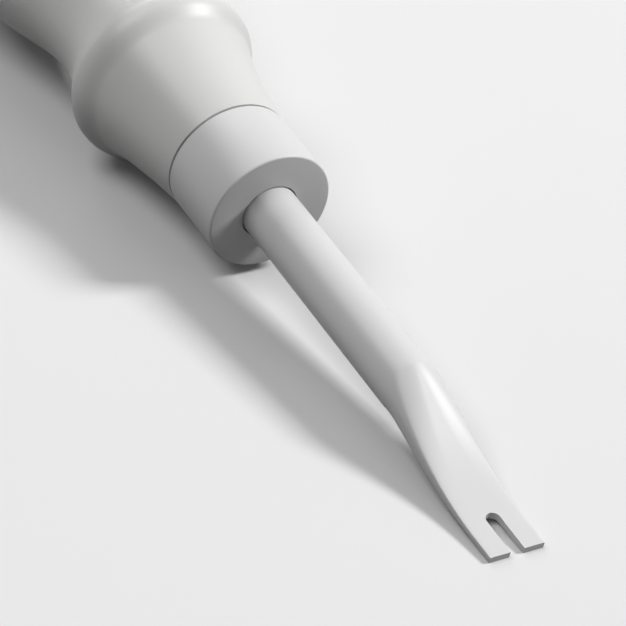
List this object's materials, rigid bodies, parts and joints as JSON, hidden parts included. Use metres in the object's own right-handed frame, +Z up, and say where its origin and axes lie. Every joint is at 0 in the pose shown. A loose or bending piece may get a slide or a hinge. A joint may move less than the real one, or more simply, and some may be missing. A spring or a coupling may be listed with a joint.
{
  "type": "forked hand tool",
  "caption": "Short modelling and lifting tool: turned grip, capped ferrule and a round shaft pressed down into a thin slotted fork.",
  "frame": {"origin": "centre of the tool's footprint on the surface that it lies on", "axes": "+X from the butt of the grip towards the tip of the fork, +Z up from the surface, +Y across the fork; the tool's own axis leans 5.9 degrees nose down"},
  "size_m": [0.1808, 0.0294, 0.0336],
  "materials": {
    "grip": "turned hardwood under pale grey satin lacquer",
    "ferrule": "drawn steel cup, pale grey satin powder coat",
    "blade": "forged steel, pale grey satin powder coat",
    "pin": "plain drawn steel"
  },
  "bodies": {
    "root": {"handle": "grip", "ferrule": "ferrule", "fork_blade": "blade", "tang_pin": "pin"}
  },
  "joints": []
}
